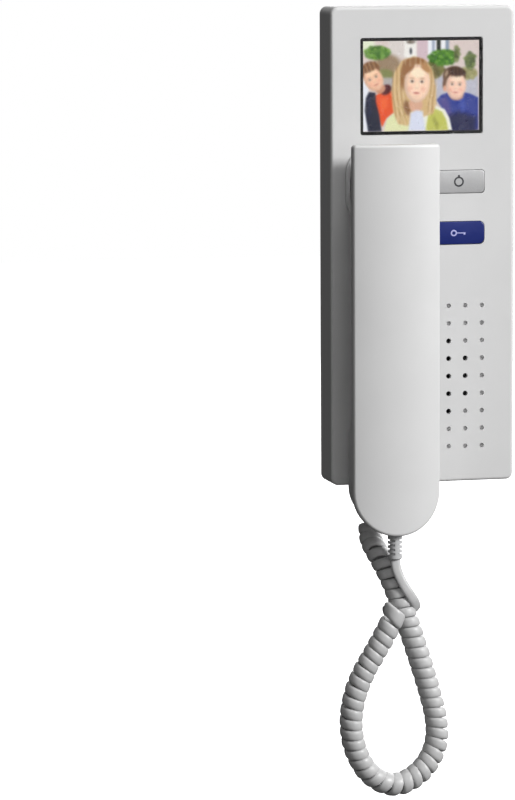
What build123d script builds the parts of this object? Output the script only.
"""Indoor video intercom station: wall housing with colour display, two buttons, loudspeaker and handset.

Millimetres. X runs to the right, Z up, and the wall is the plane Y = 0. The origin is the centre of the
housing's back face, and everything stands in front of the wall, at negative Y. Heights named H_... are
distances in front of the wall, so a height h lies at Y = -h.
"""
from build123d import *
import os
from math import pi, radians, tan

os.makedirs("parts", exist_ok=True)

# ---------------------------------------------------------------- driving dimensions
# housing
HOUSING_W = 87.6
HOUSING_H = 220.8
HOUSING_D = 20.0
CORNER_R = 3.4
EDGE_R = 1.4
WALL = 1.8
FACE_T = 2.0
BOTTOM_Z = -HOUSING_H / 2
H_INNER = HOUSING_D - FACE_T

# display
SCREEN_X, SCREEN_Z = -0.4, 73.95
SCREEN_W, SCREEN_H = 58.4, 44.5
SCREEN_BORDER = 1.45
MASK_W, MASK_H = SCREEN_W - 0.1, SCREEN_H - 0.1
MASK_T = 0.25
LENS_T = 1.1
H_LEDGE = HOUSING_D - LENS_T - MASK_T - 0.25
SCREEN_R = 1.2

# buttons, seen from the front
BUTTON_X = 17.2
BUTTON_W, BUTTON_H = 24.6, 10.5
LIGHT_Z, DOOR_Z = 29.45, 5.7
LIGHT_R, DOOR_R = 1.4, 2.4
BUTTON_GAP = 0.25
H_BUTTON = 20.6
BUTTON_CROWN = 0.8

# loudspeaker and its grid of holes
GRID_X, GRID_Z = 4.5, -28.1
GRID_PITCH_X, GRID_PITCH_Z = 8.0, 8.22
GRID_COLUMNS, GRID_ROWS = 4, 9
OPEN_ROWS = [(2, 6), (2, 6), (3, 5), None]
OPEN_R, BLIND_R, BLIND_DEPTH = 1.2, 1.08, 1.5
SPEAKER_X = GRID_X + GRID_PITCH_X / 2
SPEAKER_Z = GRID_Z - 4 * GRID_PITCH_Z
SPEAKER_R = 20.0

# handset
HANDSET_X = -19.0
HANDSET_W = 41.0
HANDSET_TOP = 48.6
HANDSET_LENGTH = 179.8
CROWN = 3.2
H_SEAM = 40.4
H_HANDSET = 47.4
SHELL = 1.8
END_R = HANDSET_W / 2
END_Z = HANDSET_TOP - HANDSET_LENGTH + END_R
CORE_W = 37.0
CORE_BACK_W = 33.0
GRIP_H = 29.5
MOUTH_H = 20.4

# ear pod of the handset and the dish that it sits in
EAR_X, EAR_Z = -19.6, 28.5
POD_R = 14.2
H_POD = 16.9
DISH_W, DISH_H = 30.4, 31.0
DISH_CORNER_R = 10.0
H_DISH = 16.0
LIP_W, LIP_H = 2.2, 0.9

# hook plunger
PLUNGER_R = 2.5

# boards
H_BOARD = 6.0
BOARD_T = 1.6
H_BOARD_TOP = H_BOARD + BOARD_T

# wall fixing
WALL_SCREW_PITCH = 60.0
WALL_SCREW_Z = -6.0
WALL_SCREW_R = 2.2
BASE_T = 2.0
BASE_GAP = 0.2

# curly cord: a flat wire wound into a coil
COIL_R = 5.5
WIRE_R = 1.8
H_CORD_EXIT = 11.0
CORD_X = -23.5
RELIEF_X, H_RELIEF = -18.4, 38.0
RELIEF_R = 3.35
RELIEF_TOP, RELIEF_END = -131.5, -142.9


def face_plane(height):
    """The plane parallel to the wall at a height in front of it: local x is X and local y is Z."""
    return Plane.XZ.offset(height)


def level_plane(z):
    """The horizontal plane at z: local x is X and local y is Y."""
    return Plane.XY.offset(z)


def save(piece, label):
    """Label a finished piece and write it to its own file."""
    piece.part.label = label
    export_step(piece.part, f"parts/{label}.step")


def dish_outline(grown):
    """Outline of the ear dish, grown all round."""
    with Locations((EAR_X, EAR_Z)):
        RectangleRounded(DISH_W + 2 * grown, DISH_H + 2 * grown, DISH_CORNER_R + grown)


def grid_points(only_open):
    """Places of the loudspeaker grid's holes: the open ones, or the blind ones."""
    points = []
    for column in range(GRID_COLUMNS):
        for row in range(GRID_ROWS):
            rows = OPEN_ROWS[column]
            is_open = rows is not None and rows[0] <= row <= rows[1]
            if is_open == only_open:
                points.append((GRID_X + column * GRID_PITCH_X, GRID_Z - row * GRID_PITCH_Z))
    return points


# ---------------------------------------------------------------- housing: front cover
BOARD_POSTS = [(-35.0, 40.0), (35.0, 40.0), (-35.0, -96.0), (35.0, -96.0)]
DISPLAY_POSTS = [(-35.4, 98.0), (35.4, 98.0), (-35.4, 52.0), (35.4, 52.0)]
H_DISPLAY_BOARD = 9.4
POST_R = 3.0
PILOT_R = 1.05
LUG_Z = -92.0
LUG_W, LUG_H = 9.0, 5.0
WINDOWS = [(LIGHT_Z, LIGHT_R), (DOOR_Z, DOOR_R)]
COVER_SCREW_X, H_COVER_SCREW = 22.0, 9.0
SCREW_HEAD_R, SCREW_HEAD_T = 2.6, 1.0

with BuildPart() as front_cover:
    with BuildSketch(face_plane(0)):
        RectangleRounded(HOUSING_W, HOUSING_H, CORNER_R)
    extrude(amount=HOUSING_D)
    fillet(front_cover.faces().sort_by(Axis.Y)[0].edges(), EDGE_R)
    with BuildSketch(face_plane(0)):
        RectangleRounded(HOUSING_W - 2 * WALL, HOUSING_H - 2 * WALL, CORNER_R - WALL)
    extrude(amount=H_INNER, mode=Mode.SUBTRACT)
    # raised lip round the ear dish, and the dish's bowl behind the face
    with BuildSketch(face_plane(HOUSING_D - 1.0)):
        dish_outline(LIP_W)
    extrude(amount=1.0 + LIP_H)
    fillet(front_cover.faces().sort_by(Axis.Y)[0].edges(), 0.6)
    with BuildSketch(face_plane(H_DISH - WALL)):
        dish_outline(WALL)
    extrude(amount=H_INNER - H_DISH + WALL + 0.5)
    with BuildSketch(face_plane(H_DISH)):
        dish_outline(0)
    extrude(amount=10, mode=Mode.SUBTRACT)
    with BuildSketch(face_plane(0)):
        with Locations((EAR_X, EAR_Z)):
            Circle(PLUNGER_R + 0.1)
    extrude(amount=HOUSING_D, mode=Mode.SUBTRACT)
    # display window, with a ledge that the lens sits on
    with BuildSketch(face_plane(H_INNER - 1)):
        with Locations((SCREEN_X, SCREEN_Z)):
            RectangleRounded(SCREEN_W - 2.0, SCREEN_H - 2.0, SCREEN_R)
    extrude(amount=5, mode=Mode.SUBTRACT)
    with BuildSketch(face_plane(H_LEDGE)):
        with Locations((SCREEN_X, SCREEN_Z)):
            RectangleRounded(SCREEN_W + 0.2, SCREEN_H + 0.2, SCREEN_R)
    extrude(amount=5, mode=Mode.SUBTRACT)
    # button windows
    for window_z, window_r in WINDOWS:
        with BuildSketch(face_plane(H_INNER - 1)):
            with Locations((BUTTON_X, window_z)):
                RectangleRounded(BUTTON_W + 2 * BUTTON_GAP, BUTTON_H + 2 * BUTTON_GAP, window_r + BUTTON_GAP)
        extrude(amount=5, mode=Mode.SUBTRACT)
    # loudspeaker grid: open holes over the cone, blind dimples round them
    with BuildSketch(face_plane(H_INNER - 1)):
        with Locations(*grid_points(True)):
            Circle(OPEN_R)
    extrude(amount=5, mode=Mode.SUBTRACT)
    with BuildSketch(face_plane(HOUSING_D - BLIND_DEPTH)):
        with Locations(*grid_points(False)):
            Circle(BLIND_R)
    extrude(amount=5, mode=Mode.SUBTRACT)
    # slot for the catch at the handset's lower end
    with BuildSketch(face_plane(H_INNER - 1)):
        with Locations((HANDSET_X, LUG_Z)):
            RectangleRounded(LUG_W + 2, LUG_H + 2, 1.2)
    extrude(amount=5, mode=Mode.SUBTRACT)
    # posts for the display board
    with BuildSketch(face_plane(H_DISPLAY_BOARD + BOARD_T)):
        with Locations(*DISPLAY_POSTS):
            Circle(POST_R)
            Circle(PILOT_R, mode=Mode.SUBTRACT)
    extrude(amount=H_INNER + 0.2 - H_DISPLAY_BOARD - BOARD_T)
    # ring that centres the loudspeaker
    with BuildSketch(face_plane(H_INNER - 4.5)):
        with Locations((SPEAKER_X, SPEAKER_Z)):
            Circle(SPEAKER_R + 1.7)
            Circle(SPEAKER_R + 0.3, mode=Mode.SUBTRACT)
    extrude(amount=4.7)
    # cord outlet and cover screw hole in the bottom wall
    with BuildSketch(level_plane(BOTTOM_Z - 1)):
        with Locations((CORD_X, -H_CORD_EXIT)):
            Circle(4.0)
        with Locations((COVER_SCREW_X, -H_COVER_SCREW)):
            Circle(1.7)
    extrude(amount=WALL + 2, mode=Mode.SUBTRACT)
    # counterbore that the screw's head sits in
    with BuildSketch(level_plane(BOTTOM_Z)):
        with Locations((COVER_SCREW_X, -H_COVER_SCREW)):
            Circle(SCREW_HEAD_R + 0.3)
    extrude(amount=SCREW_HEAD_T, mode=Mode.SUBTRACT)
save(front_cover, "front_cover")

# ---------------------------------------------------------------- housing: base plate
BASE_W = HOUSING_W - 2 * WALL - 2 * BASE_GAP
BASE_H = HOUSING_H - 2 * WALL - 2 * BASE_GAP
BASE_RIM_H = 5.0
CABLE_W, CABLE_H, CABLE_Z = 34.0, 22.0, -74.0
WALL_SCREWS = [(-WALL_SCREW_PITCH / 2, WALL_SCREW_Z), (WALL_SCREW_PITCH / 2, WALL_SCREW_Z)]

with BuildPart() as base_plate:
    with BuildSketch(face_plane(0)):
        RectangleRounded(BASE_W, BASE_H, CORNER_R - WALL - BASE_GAP)
    extrude(amount=BASE_T)
    with BuildSketch(face_plane(BASE_T)):
        RectangleRounded(BASE_W, BASE_H, CORNER_R - WALL - BASE_GAP)
        Rectangle(BASE_W - 3.0, BASE_H - 3.0, mode=Mode.SUBTRACT)
    extrude(amount=BASE_RIM_H - BASE_T)
    with BuildSketch(face_plane(BASE_T)):
        with Locations(*BOARD_POSTS):
            Circle(POST_R)
    extrude(amount=H_BOARD - BASE_T)
    with BuildSketch(face_plane(BASE_T)):
        with Locations(*BOARD_POSTS):
            Circle(PILOT_R)
    extrude(amount=H_BOARD, mode=Mode.SUBTRACT)
    # boss that takes the cover screw
    with BuildSketch(face_plane(BASE_T)):
        with Locations((COVER_SCREW_X, BOTTOM_Z + WALL + BASE_GAP + 4.5)):
            Rectangle(9.0, 9.0)
    extrude(amount=H_COVER_SCREW + 4.0 - BASE_T)
    with BuildSketch(level_plane(BOTTOM_Z)):
        with Locations((COVER_SCREW_X, -H_COVER_SCREW)):
            Circle(PILOT_R)
    extrude(amount=14, mode=Mode.SUBTRACT)
    # cable entry and wall screw holes
    with BuildSketch(face_plane(0)):
        with Locations((0, CABLE_Z)):
            RectangleRounded(CABLE_W, CABLE_H, 2.0)
        with Locations(*WALL_SCREWS):
            Circle(WALL_SCREW_R)
    extrude(amount=BASE_T + 0.5, mode=Mode.SUBTRACT)
save(base_plate, "base_plate")

# ---------------------------------------------------------------- display
with BuildPart() as display_lens:
    with BuildSketch(face_plane(H_LEDGE + MASK_T + 0.1)):
        with Locations((SCREEN_X, SCREEN_Z)):
            RectangleRounded(SCREEN_W, SCREEN_H, SCREEN_R)
    extrude(amount=LENS_T)
save(display_lens, "display_lens")

H_LCD = 15.2
with BuildPart() as display_mask:
    with BuildSketch(face_plane(H_LEDGE + 0.05)):
        with Locations((SCREEN_X, SCREEN_Z)):
            RectangleRounded(MASK_W, MASK_H, SCREEN_R)
            Rectangle(MASK_W - 2 * SCREEN_BORDER, MASK_H - 2 * SCREEN_BORDER, mode=Mode.SUBTRACT)
    extrude(amount=MASK_T)
save(display_mask, "display_mask")

with BuildPart() as lcd_panel:
    with BuildSketch(face_plane(H_LCD)):
        with Locations((SCREEN_X, SCREEN_Z)):
            Rectangle(SCREEN_W + 3, SCREEN_H + 3)
    extrude(amount=1.9)
save(lcd_panel, "lcd_panel")

with BuildPart() as backlight_tray:
    with BuildSketch(face_plane(H_DISPLAY_BOARD + BOARD_T + 0.2)):
        with Locations((SCREEN_X, SCREEN_Z)):
            RectangleRounded(SCREEN_W + 5, SCREEN_H + 4.4, 1.0)
    extrude(amount=H_LCD + 1.9 - H_DISPLAY_BOARD - BOARD_T - 0.2)
    with BuildSketch(face_plane(H_LCD - 0.1)):
        with Locations((SCREEN_X, SCREEN_Z)):
            Rectangle(SCREEN_W + 3.2, SCREEN_H + 3.2)
    extrude(amount=5, mode=Mode.SUBTRACT)
    with BuildSketch(face_plane(H_LCD - 3.0)):
        with Locations((SCREEN_X, SCREEN_Z)):
            Rectangle(SCREEN_W - 1, SCREEN_H - 1)
    extrude(amount=5, mode=Mode.SUBTRACT)
save(backlight_tray, "backlight_tray")

with BuildPart() as display_board:
    with BuildSketch(face_plane(H_DISPLAY_BOARD)):
        with Locations((0, 75.0)):
            RectangleRounded(78.0, 54.0, 1.5)
        with Locations(*DISPLAY_POSTS):
            Circle(1.4, mode=Mode.SUBTRACT)
    extrude(amount=BOARD_T)
save(display_board, "display_board")

with BuildPart() as ribbon_cable:
    with BuildSketch(face_plane(H_BOARD_TOP + 0.9)):
        with Locations((0, 44.5)):
            Rectangle(14.0, 21.0)
    extrude(amount=0.3)
save(ribbon_cable, "ribbon_cable")


def pan_screw(place, height, length):
    """A cross-head screw at a place on a face plane, its head in front of the given height."""
    with BuildPart() as piece:
        with BuildSketch(face_plane(height)):
            with Locations(place):
                Circle(2.2)
        extrude(amount=1.3)
        with BuildSketch(face_plane(height - length)):
            with Locations(place):
                Circle(PILOT_R)
        extrude(amount=length)
        with BuildSketch(face_plane(height + 0.7)):
            with Locations(place):
                Rectangle(2.0, 0.5)
                Rectangle(0.5, 2.0)
        extrude(amount=1, mode=Mode.SUBTRACT)
    return piece.part


with BuildPart() as display_screws:
    for post in DISPLAY_POSTS:
        with BuildSketch(face_plane(H_DISPLAY_BOARD)):
            with Locations(post):
                Circle(2.2)
        extrude(amount=-1.2)
        with BuildSketch(face_plane(H_DISPLAY_BOARD)):
            with Locations(post):
                Circle(PILOT_R)
        extrude(amount=6.5)
save(display_screws, "display_screws")

# ---------------------------------------------------------------- main board and what it carries
with BuildPart() as main_board:
    with BuildSketch(face_plane(H_BOARD)):
        with Locations((0, -26.4)):
            RectangleRounded(78.0, 144.8, 1.5)
        with Locations((0, CABLE_Z)):
            Rectangle(CABLE_W + 2, CABLE_H + 2, mode=Mode.SUBTRACT)
        with Locations(*WALL_SCREWS):
            Circle(5.0, mode=Mode.SUBTRACT)
        with Locations(*BOARD_POSTS):
            Circle(1.4, mode=Mode.SUBTRACT)
    extrude(amount=BOARD_T)
save(main_board, "main_board")

with BuildPart() as board_screws:
    for post in BOARD_POSTS:
        add(pan_screw(post, H_BOARD_TOP, 4.8))
save(board_screws, "board_screws")

TERMINAL_W, TERMINAL_X, TERMINAL_Z = 25.4, -24.0, -35.0
TERMINAL_POLES = 5
with BuildPart() as terminal_block:
    with BuildSketch(face_plane(H_BOARD_TOP)):
        with Locations((TERMINAL_X, TERMINAL_Z)):
            Rectangle(TERMINAL_W, 7.6)
    extrude(amount=8.2)
    for pole in range(TERMINAL_POLES):
        pole_x = TERMINAL_X + (pole - 2) * TERMINAL_W / TERMINAL_POLES
        with BuildSketch(face_plane(H_BOARD_TOP + 3.5)):
            with Locations((pole_x, TERMINAL_Z + 0.6)):
                Circle(1.8)
        extrude(amount=10, mode=Mode.SUBTRACT)
        with BuildSketch(face_plane(H_BOARD_TOP + 0.8)):
            with Locations((pole_x, TERMINAL_Z - 3.2)):
                Rectangle(3.4, 3.0)
        extrude(amount=2.4, mode=Mode.SUBTRACT)
save(terminal_block, "terminal_block")

with BuildPart() as terminal_screws:
    for pole in range(TERMINAL_POLES):
        pole_x = TERMINAL_X + (pole - 2) * TERMINAL_W / TERMINAL_POLES
        with BuildSketch(face_plane(H_BOARD_TOP + 3.7)):
            with Locations((pole_x, TERMINAL_Z + 0.6)):
                Circle(1.7)
        extrude(amount=2.4)
        with BuildSketch(face_plane(H_BOARD_TOP + 5.2)):
            with Locations((pole_x, TERMINAL_Z + 0.6)):
                Rectangle(3.6, 0.6)
        extrude(amount=2, mode=Mode.SUBTRACT)
save(terminal_screws, "terminal_screws")

CAPACITORS = [(-31.0, 12.0, 4.0, 8.4), (-31.0, 24.0, 3.15, 7.0), (33.0, -84.0, 4.0, 8.6)]
with BuildPart() as capacitors:
    for cap_x, cap_z, cap_r, cap_h in CAPACITORS:
        with BuildSketch(face_plane(H_BOARD_TOP)):
            with Locations((cap_x, cap_z)):
                Circle(cap_r)
        extrude(amount=min(cap_h, H_DISH - WALL - H_BOARD_TOP - 0.4))
save(capacitors, "capacitors")

CHIPS = [(-8.0, -4.0, 14.0, 14.0), (-22.0, -24.0, 10.0, 6.0), (10.0, -16.0, 9.0, 5.0), (2.0, -36.0, 8.0, 8.0)]
with BuildPart() as integrated_circuits:
    for chip_x, chip_z, chip_w, chip_h in CHIPS:
        with BuildSketch(face_plane(H_BOARD_TOP)):
            with Locations((chip_x, chip_z)):
                Rectangle(chip_w, chip_h)
        extrude(amount=1.4)
save(integrated_circuits, "integrated_circuits")

with BuildPart() as board_connectors:
    for plug_x, plug_z, plug_w in [(0, 43.0, 16.0), (-28.0, -86.0, 10.0), (30.0, -34.0, 6.0)]:
        with BuildSketch(face_plane(H_BOARD_TOP)):
            with Locations((plug_x, plug_z - 9.5 * (plug_w > 15))):
                Rectangle(plug_w, 4.4)
        extrude(amount=0.9 if plug_w > 15 else 5.0)
save(board_connectors, "board_connectors")

SWITCH_BODY_H = 3.5
SWITCH_STEM_R = 1.6
with BuildPart() as tact_switches:
    for switch_z in (LIGHT_Z, DOOR_Z):
        with BuildSketch(face_plane(H_BOARD_TOP)):
            with Locations((BUTTON_X, switch_z)):
                Rectangle(6.2, 6.2)
        extrude(amount=SWITCH_BODY_H)
        with BuildSketch(face_plane(H_BOARD_TOP + 0.6)):
            with Locations((BUTTON_X, switch_z)):
                Circle(SWITCH_STEM_R + 0.1)
        extrude(amount=5, mode=Mode.SUBTRACT)
save(tact_switches, "tact_switches")

# ---------------------------------------------------------------- buttons
H_BUTTON_BACK = 12.6
H_FLANGE = 16.0
H_STEM_END = 9.6
SYMBOL_DEPTH = 0.9
BUTTON_ROLL_UP = 1.6
BUTTON_ROLL_R = ((BUTTON_H / 2 + BUTTON_ROLL_UP) ** 2 + BUTTON_CROWN**2) / (2 * BUTTON_CROWN)


def button_roll(z):
    """A log along X whose front gives a key its slight roll, more towards the lower edge."""
    with BuildPart() as log:
        with BuildSketch(Plane.YZ.offset(BUTTON_X - BUTTON_W)):
            with Locations((-H_BUTTON + BUTTON_ROLL_R, z + BUTTON_ROLL_UP)):
                Circle(BUTTON_ROLL_R)
        extrude(amount=2 * BUTTON_W)
    return log.part


def button_cap(z, corner):
    """A key: its face in the window, a flange that holds it behind the cover, and a foot for the switch."""
    with BuildPart() as cap:
        with BuildSketch(face_plane(H_FLANGE)):
            with Locations((BUTTON_X, z)):
                RectangleRounded(BUTTON_W, BUTTON_H, corner)
        extrude(amount=H_BUTTON - H_FLANGE)
        add(button_roll(z), mode=Mode.INTERSECT)
        fillet(cap.faces().sort_by(Axis.Y)[0].edges(), 0.45)
        with BuildSketch(face_plane(H_FLANGE)):
            with Locations((BUTTON_X, z)):
                RectangleRounded(BUTTON_W + 2.6, BUTTON_H + 2.6, corner)
        extrude(amount=1.4)
        with BuildSketch(face_plane(H_BUTTON_BACK)):
            with Locations((BUTTON_X, z)):
                Rectangle(8.0, 7.0)
        extrude(amount=H_FLANGE - H_BUTTON_BACK)
    return cap.part


def light_sketch(z):
    """Lamp symbol: a ring, with a nub on top."""
    with Locations((BUTTON_X, z)):
        Circle(2.4)
        Circle(1.6, mode=Mode.SUBTRACT)
    with Locations((BUTTON_X, z + 2.7)):
        Rectangle(1.0, 0.9)


def key_sketch(z):
    """Key symbol: a ring bow, a shank and one bit."""
    with Locations((BUTTON_X - 2.4, z)):
        Circle(1.5)
        Circle(0.85, mode=Mode.SUBTRACT)
    with Locations((BUTTON_X + 1.1, z)):
        Rectangle(4.2, 0.5)
    with Locations((BUTTON_X + 2.7, z - 0.4)):
        Rectangle(0.9, 0.9)


with BuildPart() as light_button:
    add(button_cap(LIGHT_Z, LIGHT_R))
    with BuildSketch(face_plane(H_BUTTON - SYMBOL_DEPTH)):
        light_sketch(LIGHT_Z)
    extrude(amount=1, mode=Mode.SUBTRACT)
save(light_button, "light_button")

with BuildPart() as light_symbol:
    with BuildSketch(face_plane(H_BUTTON - SYMBOL_DEPTH)):
        light_sketch(LIGHT_Z)
    extrude(amount=SYMBOL_DEPTH)
    add(button_roll(LIGHT_Z), mode=Mode.INTERSECT)
save(light_symbol, "light_symbol")

with BuildPart() as door_button:
    add(button_cap(DOOR_Z, DOOR_R))
    with BuildSketch(face_plane(H_BUTTON - SYMBOL_DEPTH)):
        key_sketch(DOOR_Z)
    extrude(amount=1, mode=Mode.SUBTRACT)
save(door_button, "door_button")

with BuildPart() as door_symbol:
    with BuildSketch(face_plane(H_BUTTON - SYMBOL_DEPTH)):
        key_sketch(DOOR_Z)
    extrude(amount=SYMBOL_DEPTH)
    add(button_roll(DOOR_Z), mode=Mode.INTERSECT)
save(door_symbol, "door_symbol")

for stem_name, stem_z in (("light_switch_stem", LIGHT_Z), ("door_switch_stem", DOOR_Z)):
    with BuildPart() as switch_stem:
        with BuildSketch(face_plane(H_STEM_END)):
            with Locations((BUTTON_X, stem_z)):
                Circle(SWITCH_STEM_R)
        extrude(amount=H_BUTTON_BACK - H_STEM_END)
    save(switch_stem, stem_name)

# ---------------------------------------------------------------- loudspeaker
H_SPEAKER_BACK = 9.3
with BuildPart() as loudspeaker_gasket:
    with BuildSketch(face_plane(H_INNER - 0.8)):
        with Locations((SPEAKER_X, SPEAKER_Z)):
            Circle(SPEAKER_R)
            Circle(SPEAKER_R - 2.4, mode=Mode.SUBTRACT)
    extrude(amount=0.8)
save(loudspeaker_gasket, "loudspeaker_gasket")

with BuildPart() as loudspeaker_frame:
    with BuildSketch(Plane.YZ.offset(SPEAKER_X)):
        with BuildLine():
            Polyline(
                (-17.2, SPEAKER_Z + SPEAKER_R),
                (-17.2, SPEAKER_Z + SPEAKER_R - 2.4),
                (-16.2, SPEAKER_Z + SPEAKER_R - 2.8),
                (-12.6, SPEAKER_Z + 9.6),
                (-12.6, SPEAKER_Z + 5.0),
                (-12.0, SPEAKER_Z + 5.0),
                (-12.0, SPEAKER_Z + 10.2),
                (-15.6, SPEAKER_Z + SPEAKER_R),
                close=True,
            )
        make_face()
    revolve(axis=Axis((SPEAKER_X, 0, SPEAKER_Z), (0, 1, 0)))
save(loudspeaker_frame, "loudspeaker_frame")

with BuildPart() as loudspeaker_cone:
    with BuildSketch(Plane.YZ.offset(SPEAKER_X)):
        with BuildLine():
            Polyline(
                (-17.1, SPEAKER_Z + SPEAKER_R - 2.9),
                (-17.1, SPEAKER_Z + SPEAKER_R - 4.4),
                (-14.6, SPEAKER_Z + 6.0),
                (-15.8, SPEAKER_Z),
                (-15.5, SPEAKER_Z),
                (-14.2, SPEAKER_Z + 6.1),
                (-16.7, SPEAKER_Z + SPEAKER_R - 4.3),
                (-16.8, SPEAKER_Z + SPEAKER_R - 2.9),
                close=True,
            )
        make_face()
    revolve(axis=Axis((SPEAKER_X, 0, SPEAKER_Z), (0, 1, 0)))
save(loudspeaker_cone, "loudspeaker_cone")

with BuildPart() as loudspeaker_magnet:
    with BuildSketch(face_plane(H_SPEAKER_BACK)):
        with Locations((SPEAKER_X, SPEAKER_Z)):
            Circle(9.0)
    extrude(amount=2.7)
    with BuildSketch(face_plane(H_SPEAKER_BACK)):
        with Locations((SPEAKER_X, SPEAKER_Z)):
            Circle(4.8)
    extrude(amount=4.2)
save(loudspeaker_magnet, "loudspeaker_magnet")

# ---------------------------------------------------------------- hook plunger and switch
H_PLUNGER_TIP = H_POD - 0.1
H_PLUNGER_FLANGE = 10.0
with BuildPart() as hook_plunger:
    with BuildSketch(face_plane(H_PLUNGER_FLANGE)):
        with Locations((EAR_X, EAR_Z)):
            Circle(PLUNGER_R)
    extrude(amount=H_PLUNGER_TIP - H_PLUNGER_FLANGE)
    fillet(hook_plunger.faces().sort_by(Axis.Y)[0].edges(), 0.8)
    with BuildSketch(face_plane(H_PLUNGER_FLANGE)):
        with Locations((EAR_X, EAR_Z)):
            Circle(4.2)
    extrude(amount=1.2)
    with BuildSketch(face_plane(H_BOARD_TOP + 0.2)):
        with Locations((EAR_X, EAR_Z)):
            Circle(1.2)
    extrude(amount=H_PLUNGER_FLANGE - H_BOARD_TOP - 0.2)
save(hook_plunger, "hook_plunger")

SPRING_R, SPRING_WIRE, SPRING_TURNS = 2.3, 0.22, 3.5
SPRING_H = H_PLUNGER_FLANGE - H_BOARD_TOP - 2 * SPRING_WIRE - 0.1
with BuildPart() as hook_spring:
    with BuildLine() as spring_line:
        Helix(
            pitch=SPRING_H / SPRING_TURNS,
            height=SPRING_H,
            radius=SPRING_R,
            center=(EAR_X, -(H_BOARD_TOP + SPRING_WIRE + 0.05), EAR_Z),
            direction=(0, -1, 0),
        )
    with BuildSketch(Plane(spring_line.line @ 0, z_dir=spring_line.line % 0)):
        Circle(SPRING_WIRE)
    sweep(is_frenet=True)
save(hook_spring, "hook_spring")

with BuildPart() as hook_switch:
    with BuildSketch(face_plane(H_BOARD_TOP)):
        with Locations((EAR_X + 12.0, EAR_Z - 2.0)):
            Rectangle(12.8, 6.5)
    extrude(amount=5.6)
    with BuildSketch(face_plane(H_BOARD_TOP + 3.6)):
        with Locations((EAR_X + 8.0, EAR_Z + 2.0)):
            Rectangle(6.0, 2.0)
    extrude(amount=1.0)
save(hook_switch, "hook_switch")

# ---------------------------------------------------------------- cover screw and cord grommet
with BuildPart() as cover_screw:
    with BuildSketch(level_plane(BOTTOM_Z)):
        with Locations((COVER_SCREW_X, -H_COVER_SCREW)):
            Circle(SCREW_HEAD_R)
    extrude(amount=SCREW_HEAD_T)
    with BuildSketch(level_plane(BOTTOM_Z + SCREW_HEAD_T)):
        with Locations((COVER_SCREW_X, -H_COVER_SCREW)):
            Circle(PILOT_R)
    extrude(amount=8.5)
    with BuildSketch(level_plane(BOTTOM_Z)):
        with Locations((COVER_SCREW_X, -H_COVER_SCREW)):
            Rectangle(2.4, 0.6)
            Rectangle(0.6, 2.4)
    extrude(amount=0.6, mode=Mode.SUBTRACT)
save(cover_screw, "cover_screw")

WIRE_BORE = WIRE_R + 0.05
with BuildPart() as cord_grommet:
    with BuildSketch(Plane.YZ.offset(CORD_X)):
        with BuildLine():
            Polyline(
                (-H_CORD_EXIT + WIRE_BORE, BOTTOM_Z + WALL + 2.0),
                (-H_CORD_EXIT + 5.0, BOTTOM_Z + WALL + 2.0),
                (-H_CORD_EXIT + 5.0, BOTTOM_Z + WALL + 0.05),
                (-H_CORD_EXIT + 3.95, BOTTOM_Z + WALL + 0.05),
                (-H_CORD_EXIT + 3.95, BOTTOM_Z - 0.05),
                (-H_CORD_EXIT + 4.8, BOTTOM_Z - 0.05),
                (-H_CORD_EXIT + 4.6, BOTTOM_Z - 1.8),
                (-H_CORD_EXIT + 2.9, BOTTOM_Z - 7.5),
                (-H_CORD_EXIT + WIRE_BORE, BOTTOM_Z - 7.5),
                close=True,
            )
        make_face()
    revolve(axis=Axis((CORD_X, -H_CORD_EXIT, 0), (0, 0, 1)))
save(cord_grommet, "cord_grommet")

# ---------------------------------------------------------------- handset shells


def handset_outline(half_width, top_z):
    """Outline seen from the front: square shoulders and a half-round lower end."""
    with BuildLine() as outline:
        Polyline(
            (HANDSET_X - half_width, END_Z),
            (HANDSET_X - half_width, top_z),
            (HANDSET_X + half_width, top_z),
            (HANDSET_X + half_width, END_Z),
        )
        ThreePointArc(
            (HANDSET_X + half_width, END_Z),
            (HANDSET_X, END_Z - half_width),
            (HANDSET_X - half_width, END_Z),
        )
    make_face(outline.edges())


def handset_core(inset):
    """The body behind the front shell, shrunk by inset all round: ear pod, slim grip and mouth end."""
    low = END_Z - CORE_W / 2
    with BuildPart() as core:
        with BuildSketch(Plane.YZ.offset(HANDSET_X - CORE_W / 2)) as side:
            with BuildLine():
                Polyline(
                    (-H_SEAM, HANDSET_TOP - 2.0 - inset),
                    (-33.0 - inset, HANDSET_TOP - 2.6 - inset),
                    (-GRIP_H - inset, HANDSET_TOP - 8.0 - inset),
                    (-GRIP_H - inset, -78.0 - inset),
                    (-MOUTH_H - inset, -88.0 - inset),
                    (-MOUTH_H - inset, low + 8.0),
                    (-27.0 - inset, low + inset),
                    (-H_SEAM, low + inset),
                    close=True,
                )
            make_face()
            fillet(side.vertices().sort_by(Axis.Y)[2:6], 4.0)
        extrude(amount=CORE_W)
        with BuildSketch(face_plane(H_POD + inset)):
            with Locations((EAR_X, EAR_Z)):
                Circle(POD_R - inset)
        extrude(amount=GRIP_H + 4.0 - H_POD)
        with BuildSketch(face_plane(H_POD - 2)):
            handset_outline(CORE_BACK_W / 2 - inset, HANDSET_TOP - 1.0 - inset)
        with BuildSketch(face_plane(H_SEAM)):
            handset_outline(CORE_W / 2 - inset, HANDSET_TOP - 1.0 - inset)
        loft(mode=Mode.INTERSECT)
    return core.part


H_NOTCH = 2.6
HANDSET_SCREWS = [(HANDSET_X, 3.0), (HANDSET_X, -118.5)]
HANDSET_POST_R = 2.8
POD_HOLES = 6
MIC_Z = -106.0


def relief_hole():
    """Round way for the strain relief's neck through the shells' lower end."""
    with BuildPart() as hole:
        with BuildSketch(level_plane(RELIEF_TOP - 2)):
            with Locations((RELIEF_X, -H_RELIEF)):
                Circle(H_NOTCH)
        extrude(amount=10)
    return hole.part


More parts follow.
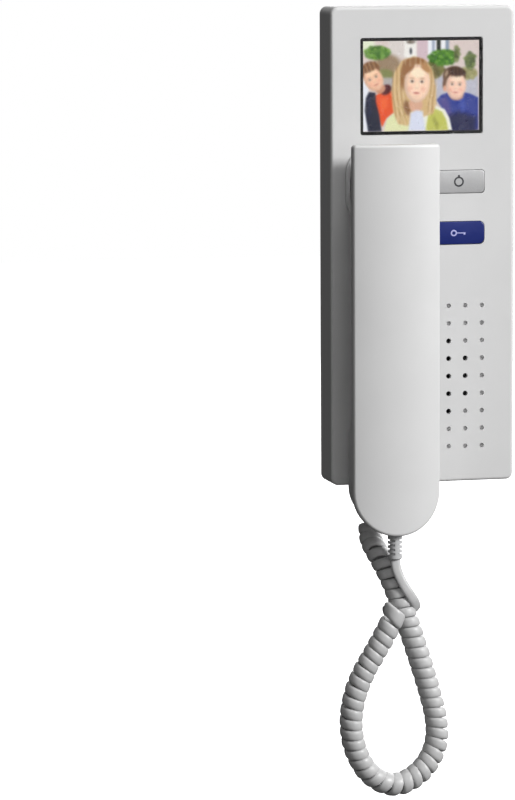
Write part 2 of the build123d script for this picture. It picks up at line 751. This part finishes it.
with BuildPart() as handset_rear_shell:
    add(handset_core(0))
    add(handset_core(SHELL), mode=Mode.SUBTRACT)
    # posts for the two screws, closed at the back but for the screw hole
    for post_place in HANDSET_SCREWS:
        back = GRIP_H + 1.0 if post_place[1] > 0 else MOUTH_H + 1.0
        with BuildSketch(face_plane(back)):
            with Locations(post_place):
                Circle(HANDSET_POST_R)
        extrude(amount=H_SEAM - 4.2 - back)
        with BuildSketch(face_plane(H_POD - 1)):
            with Locations(post_place):
                Circle(1.3)
        extrude(amount=H_SEAM - H_POD, mode=Mode.SUBTRACT)
    # sound holes of the ear pod, in a ring, and the microphone's hole
    with BuildSketch(face_plane(H_POD - 1)):
        with Locations((EAR_X, EAR_Z)):
            with PolarLocations(7.5, POD_HOLES, start_angle=30):
                Circle(1.1)
        with Locations((HANDSET_X, MIC_Z)):
            with PolarLocations(2.6, 3, start_angle=90):
                Circle(0.8)
    extrude(amount=MOUTH_H + 2.5 - H_POD, mode=Mode.SUBTRACT)
    # catch that enters the slot in the cover
    with BuildSketch(face_plane(H_INNER - 0.6)):
        with Locations((HANDSET_X, LUG_Z)):
            RectangleRounded(LUG_W, LUG_H, 1.0)
    extrude(amount=MOUTH_H + 1.0 - H_INNER + 0.6)
    add(relief_hole(), mode=Mode.SUBTRACT)
save(handset_rear_shell, "handset_rear_shell")

CROWN_R = (END_R**2 + CROWN**2) / (2 * CROWN)


def crowned_body(inset):
    """The front half of the handset, crowned across its width and shrunk by inset all round."""
    with BuildPart() as body:
        with BuildSketch(face_plane(H_SEAM)):
            handset_outline(HANDSET_W / 2 - inset, HANDSET_TOP - inset)
        extrude(amount=H_HANDSET - H_SEAM)
        with BuildSketch(level_plane(END_Z - END_R - 5)):
            with Locations((HANDSET_X, -H_HANDSET + CROWN_R)):
                Circle(CROWN_R - inset)
        extrude(amount=HANDSET_LENGTH + 10, mode=Mode.INTERSECT)
    return body.part


with BuildPart() as handset_front_shell:
    add(crowned_body(0))
    fillet(handset_front_shell.edges().filter_by(Axis.Y), 1.6)
    fillet(handset_front_shell.faces().sort_by(Axis.Y)[0].edges(), 1.3)
    add(crowned_body(SHELL), mode=Mode.SUBTRACT)
    for post_place in HANDSET_SCREWS:
        with BuildSketch(face_plane(H_SEAM - 4.0)):
            with Locations(post_place):
                Circle(HANDSET_POST_R)
                Circle(PILOT_R, mode=Mode.SUBTRACT)
        extrude(amount=H_HANDSET - SHELL + 0.3 - H_SEAM + 4.0)
    add(relief_hole(), mode=Mode.SUBTRACT)
save(handset_front_shell, "handset_front_shell")

with BuildPart() as handset_screws:
    for post_place in HANDSET_SCREWS:
        back = H_SEAM - 9.5
        with BuildSketch(face_plane(back)):
            with Locations(post_place):
                Circle(PILOT_R)
        extrude(amount=10.0)
save(handset_screws, "handset_screws")

# ---------------------------------------------------------------- what the handset holds
RECEIVER_R = POD_R - SHELL - 0.4
with BuildPart() as receiver_capsule:
    with BuildSketch(face_plane(H_POD + SHELL + 1.0)):
        with Locations((EAR_X, EAR_Z)):
            Circle(RECEIVER_R)
    extrude(amount=5.5)
    with BuildSketch(face_plane(H_POD + SHELL + 6.5)):
        with Locations((EAR_X, EAR_Z)):
            Circle(7.4)
    extrude(amount=3.0)
    with BuildSketch(face_plane(H_POD + SHELL + 1.0)):
        with Locations((EAR_X, EAR_Z)):
            Circle(RECEIVER_R - 1.6)
    extrude(amount=0.8, mode=Mode.SUBTRACT)
save(receiver_capsule, "receiver_capsule")

with BuildPart() as receiver_gasket:
    with BuildSketch(face_plane(H_POD + SHELL)):
        with Locations((EAR_X, EAR_Z)):
            Circle(RECEIVER_R)
            Circle(RECEIVER_R - 1.6, mode=Mode.SUBTRACT)
    extrude(amount=1.0)
save(receiver_gasket, "receiver_gasket")

with BuildPart() as microphone_boot:
    with BuildSketch(face_plane(MOUTH_H + SHELL)):
        with Locations((HANDSET_X, MIC_Z)):
            Circle(6.2)
    extrude(amount=7.0)
    with BuildSketch(face_plane(MOUTH_H + SHELL + 1.0)):
        with Locations((HANDSET_X, MIC_Z)):
            Circle(4.85)
    extrude(amount=7.0, mode=Mode.SUBTRACT)
    with BuildSketch(face_plane(MOUTH_H)):
        with Locations((HANDSET_X, MIC_Z)):
            Circle(2.0)
    extrude(amount=7.0, mode=Mode.SUBTRACT)
save(microphone_boot, "microphone_boot")

with BuildPart() as microphone_capsule:
    with BuildSketch(face_plane(MOUTH_H + SHELL + 1.0)):
        with Locations((HANDSET_X, MIC_Z)):
            Circle(4.85)
    extrude(amount=6.4)
    fillet(microphone_capsule.faces().sort_by(Axis.Y)[0].edges(), 0.5)
save(microphone_capsule, "microphone_capsule")

H_BALLAST = GRIP_H + SHELL + 1.2
with BuildPart() as ballast_weight:
    with BuildSketch(face_plane(H_BALLAST)):
        with Locations((HANDSET_X, -32.0)):
            RectangleRounded(24.0, 52.0, 2.0)
    extrude(amount=5.5)
    chamfer(ballast_weight.faces().sort_by(Axis.Y)[0].edges(), 0.6)
save(ballast_weight, "ballast_weight")

with BuildPart() as handset_board:
    with BuildSketch(face_plane(H_SEAM - 2.6)):
        with Locations((HANDSET_X, -78.0)):
            RectangleRounded(22.0, 26.0, 1.0)
    extrude(amount=1.0)
    for part_x, part_z, part_w in [(-6.0, 5.0, 4.0), (4.0, 6.0, 5.0), (-3.0, -5.0, 6.0)]:
        with BuildSketch(face_plane(H_SEAM - 1.6)):
            with Locations((HANDSET_X + part_x, -78.0 + part_z)):
                Rectangle(part_w, 3.0)
        extrude(amount=1.3)
save(handset_board, "handset_board")

# ---------------------------------------------------------------- strain relief at the handset's lower end
RELIEF_SLOTS = 4
SLOT_PITCH, SLOT_H, SPINE_W = 2.05, 1.0, 1.5
with BuildPart() as handset_strain_relief:
    with BuildSketch(level_plane(RELIEF_END)):
        with Locations((RELIEF_X, -H_RELIEF)):
            Circle(RELIEF_R)
    extrude(amount=RELIEF_TOP - 0.2 - RELIEF_END)
    chamfer(handset_strain_relief.faces().sort_by(Axis.Z)[0].edges(), 0.5)
    for slot in range(RELIEF_SLOTS):
        with BuildSketch(level_plane(RELIEF_END + 2.2 + slot * SLOT_PITCH)):
            with Locations((RELIEF_X, -H_RELIEF)):
                Circle(RELIEF_R + 1)
                Circle(RELIEF_R - 1.1, mode=Mode.SUBTRACT)
                Rectangle(SPINE_W, 10, mode=Mode.SUBTRACT)
        extrude(amount=SLOT_H, mode=Mode.SUBTRACT)
    with BuildSketch(level_plane(RELIEF_TOP - 0.2)):
        with Locations((RELIEF_X, -H_RELIEF)):
            Circle(H_NOTCH - 0.1)
    extrude(amount=6.2)
    with BuildSketch(level_plane(RELIEF_TOP + 5.0)):
        with Locations((RELIEF_X, -H_RELIEF)):
            Rectangle(7.0, 5.0)
    extrude(amount=2.0)
save(handset_strain_relief, "handset_strain_relief")

# ---------------------------------------------------------------- curly cord
# Centre line from the housing's grommet, through the coil, back up to the handset.
HOUSING_TAIL = [
    (CORD_X, -H_CORD_EXIT, BOTTOM_Z + WALL + 3.2),
    (CORD_X, -H_CORD_EXIT, BOTTOM_Z - 8.0),
    (-23.7, -11.8, -124.5),
    (-24.4, -15.6, -131.0),
]
COIL = [
    (-24.41, -15.65, -131.09),
    (-24.97, -18.69, -136.29),
    (-24.2, -25.5, -140.1),
    (-22.2, -29.8, -145.4),
    (-19.3, -32.3, -151.6),
    (-16.7, -33.9, -158.3),
    (-13.7, -35.2, -167.1),
    (-10.5, -36.2, -176.9),
    (-6.6, -37.0, -189.2),
    (-2.3, -37.6, -203.6),
    (1.8, -38.8, -220.2),
    (0.9, -39.3, -233.0),
    (-7.0, -40.3, -243.3),
    (-19.7, -41.6, -247.9),
    (-31.8, -42.8, -242.2),
    (-39.1, -43.8, -231.3),
    (-41.7, -44.7, -218.4),
    (-40.2, -45.5, -205.1),
    (-35.6, -46.2, -193.3),
    (-29.7, -46.8, -183.6),
    (-24.2, -47.2, -173.8),
    (-21.3, -47.4, -166.9),
    (-20.1, -47.2, -163.6),
]
HANDSET_TAIL = [
    (-20.1, -47.2, -163.6),
    (-19.5, -46.4, -160.2),
    (-20.5, -42.6, -158.4),
    (-22.6, -38.2, -160.6),
    (-22.4, -33.4, -164.0),
    (-17.5, -29.4, -166.4),
    (-12.0, -28.4, -168.0),
    (-7.2, -30.4, -169.0),
    (-5.2, -34.6, -167.2),
    (-7.2, -38.4, -163.8),
    (-10.4, -40.2, -159.8),
    (-13.2, -39.9, -154.9),
    (-15.6, -39.1, -150.2),
    (-17.5, -38.5, -146.4),
    (RELIEF_X, -H_RELIEF, RELIEF_END),
]


def corner_radii(points):
    """One radius for each inner point: 0.45 of its shorter run, over the tangent of half its turn."""
    radii = []
    for before, here, after in zip(points, points[1:], points[2:]):
        run_in = Vector(*here) - Vector(*before)
        run_out = Vector(*after) - Vector(*here)
        turn = radians(run_in.get_angle(run_out))
        radii.append(0.45 * min(run_in.length, run_out.length) / tan(turn / 2))
    return radii


def cord_tube(points, radius):
    """A round tube along straight runs joined by tangent arcs."""
    radii = corner_radii(points)
    with BuildPart() as tube:
        with BuildLine() as route:
            FilletPolyline(*points, radius=radii)
        with BuildSketch(Plane(route.line @ 0, z_dir=route.line % 0)):
            Circle(radius)
        sweep()
    print("arcs", [round(r, 1) for r in radii])
    length = sum(edge.length for edge in route.edges())
    print("length", round(length, 1), "volume / section", round(tube.part.volume / pi / radius**2, 1))
    return tube.part


with BuildPart() as cord_tail_housing:
    add(cord_tube(HOUSING_TAIL, WIRE_R))
save(cord_tail_housing, "cord_tail_housing")

with BuildPart() as cord_coil:
    add(cord_tube(COIL, COIL_R))
save(cord_coil, "cord_coil")

with BuildPart() as cord_tail_handset:
    add(cord_tube(HANDSET_TAIL, WIRE_R))
save(cord_tail_handset, "cord_tail_handset")

with BuildPart() as cord_plug:
    with BuildSketch(level_plane(BOTTOM_Z + WALL + 3.2)):
        with Locations((CORD_X, -H_CORD_EXIT)):
            Rectangle(9.6, 6.2)
    extrude(amount=11.0)
    with BuildSketch(level_plane(BOTTOM_Z + WALL + 5.0)):
        with Locations((CORD_X, -H_CORD_EXIT - 3.4)):
            Rectangle(3.2, 0.8)
    extrude(amount=9.0)
save(cord_plug, "cord_plug")
